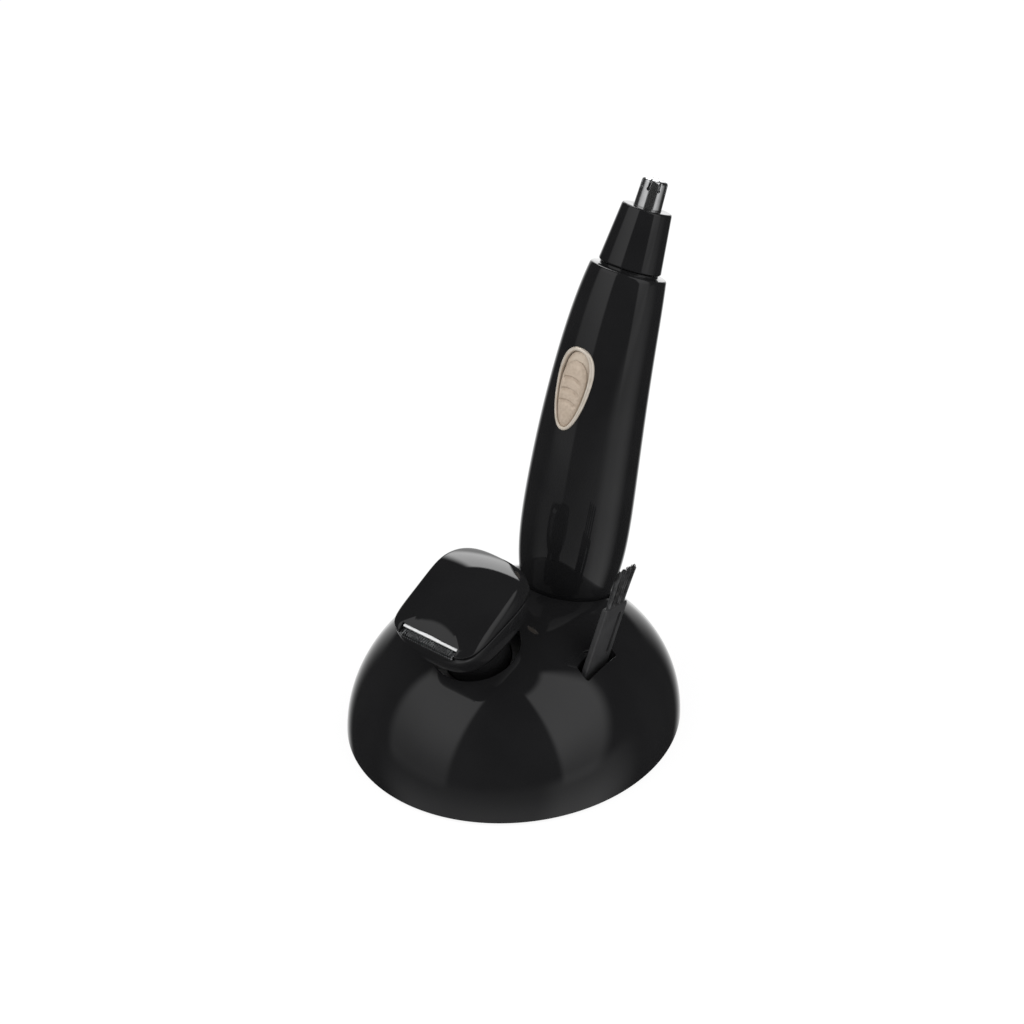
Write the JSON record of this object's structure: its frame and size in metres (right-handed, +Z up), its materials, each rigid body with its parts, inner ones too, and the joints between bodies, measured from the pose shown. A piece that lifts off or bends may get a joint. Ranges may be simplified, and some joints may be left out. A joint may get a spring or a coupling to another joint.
{
  "type": "nose hair trimmer",
  "caption": "Pen-shaped nose hair trimmer with a slide switch, in a domed stand that also holds a spare face trimmer head and a cleaning brush.",
  "frame": {"origin": "centre of the stand's oval base on the surface it rests on", "axes": "+Z up, -Y the front, where the switch and the spare head are, +X the brush side"},
  "size_m": [0.0868, 0.1173, 0.1384],
  "materials": {
    "gloss_black": "high gloss moulded black",
    "satin_black": "satin moulded black",
    "rubber_black": "soft rubber",
    "bristle_black": "nylon bristle",
    "ballast_steel": "zinc plated",
    "bright_steel": "polished stainless",
    "cutter_steel": "ground stainless",
    "motor_steel": "nickel plated",
    "magnet": "ferrite",
    "copper": "enamelled copper on steel laminations",
    "white_nylon": "natural moulded nylon",
    "bronze": "sintered bronze",
    "contact_brass": "spring brass",
    "champagne": "polished champagne",
    "champagne_satin": "satin champagne",
    "cell_jacket": "printed jacket on steel can"
  },
  "bodies": {
    "stand": {"stand_shell": "gloss_black", "base_plate": "satin_black", "ballast_plate": "ballast_steel", "rubber_feet": "rubber_black", "base_screws": "bright_steel"},
    "trimmer": {"body_shell": "gloss_black", "inner_chassis": "white_nylon", "battery": "cell_jacket", "positive_contact": "bright_steel", "contact_leaves": "contact_brass", "motor_can": "motor_steel", "motor_magnets": "magnet", "motor_end_cap": "white_nylon", "switch_bezel": "champagne", "cap_seal": "rubber_black"},
    "battery_door": {"battery_cap": "gloss_black", "battery_spring": "bright_steel"},
    "switch": {"switch_knob": "champagne_satin", "switch_slider": "satin_black"},
    "rotor": {"armature": "copper", "drive_coupler": "white_nylon", "cutter_spindle": "white_nylon", "cutter_spring": "bright_steel", "inner_cutter": "cutter_steel"},
    "nose_head": {"nose_housing": "gloss_black", "nose_bush": "bronze", "outer_cutter": "bright_steel"},
    "spare_head": {"head_top_shell": "gloss_black", "head_lower_shell": "gloss_black", "comb_blade": "bright_steel", "blade_rail": "white_nylon", "blade_clip": "bright_steel", "head_bush": "bronze", "lever_pin": "bright_steel", "head_screws": "bright_steel"},
    "head_drive": {"head_spindle": "bright_steel"},
    "blade": {"moving_blade": "bright_steel"},
    "lever": {"drive_lever": "white_nylon"},
    "brush": {"brush_handle": "satin_black", "brush_bristles": "bristle_black"}
  },
  "joints": [
    {"name": "trimmer_lift", "type": "slide", "parent": "stand", "child": "trimmer", "axis": [0, 0.2368, 0.9715], "range_m": [0, 0.06]},
    {"name": "battery_cap_twist", "type": "hinge", "parent": "trimmer", "child": "battery_door", "pos_m": [0, 0.02044, 0.0109], "axis": [0, 0.2368, 0.9715], "range_deg": [0, 45]},
    {"name": "switch_slide", "type": "slide", "parent": "trimmer", "child": "switch", "axis": [0, 0.3966, 0.918], "range_m": [0, 0.0024]},
    {"name": "cutter_spin", "type": "hinge", "parent": "trimmer", "child": "rotor", "pos_m": [0, 0.05423, 0.11516], "axis": [0, 0.5038, 0.8638], "continuous": true},
    {"name": "nose_head_twist", "type": "hinge", "parent": "trimmer", "child": "nose_head", "pos_m": [0, 0.05423, 0.11516], "axis": [0, 0.5038, 0.8638], "range_deg": [0, 35]},
    {"name": "spare_head_lift", "type": "slide", "parent": "stand", "child": "spare_head", "axis": [-0.0226, -0.2578, 0.9659], "range_m": [0, 0.05]},
    {"name": "head_spindle_spin", "type": "hinge", "parent": "spare_head", "child": "head_drive", "pos_m": [-0.0012, -0.017, 0.0361], "axis": [-0.0226, -0.2578, 0.9659], "continuous": true},
    {"name": "blade_slide", "type": "slide", "parent": "spare_head", "child": "blade", "axis": [0.9962, -0.0872, 0], "range_m": [-0.001, 0.001]},
    {"name": "lever_rock", "type": "hinge", "parent": "spare_head", "child": "lever", "pos_m": [-0.00185, -0.02439, 0.04446], "axis": [-0.0226, -0.2578, 0.9659], "range_deg": [-7.65, 7.65]},
    {"name": "brush_lift", "type": "slide", "parent": "stand", "child": "brush", "axis": [0.1415, 0.289, 0.9468], "range_m": [0, 0.045]}
  ],
  "couplings": [
    {"joint": "lever_rock", "follows": "blade_slide", "rad_per_m": 133.33}
  ]
}
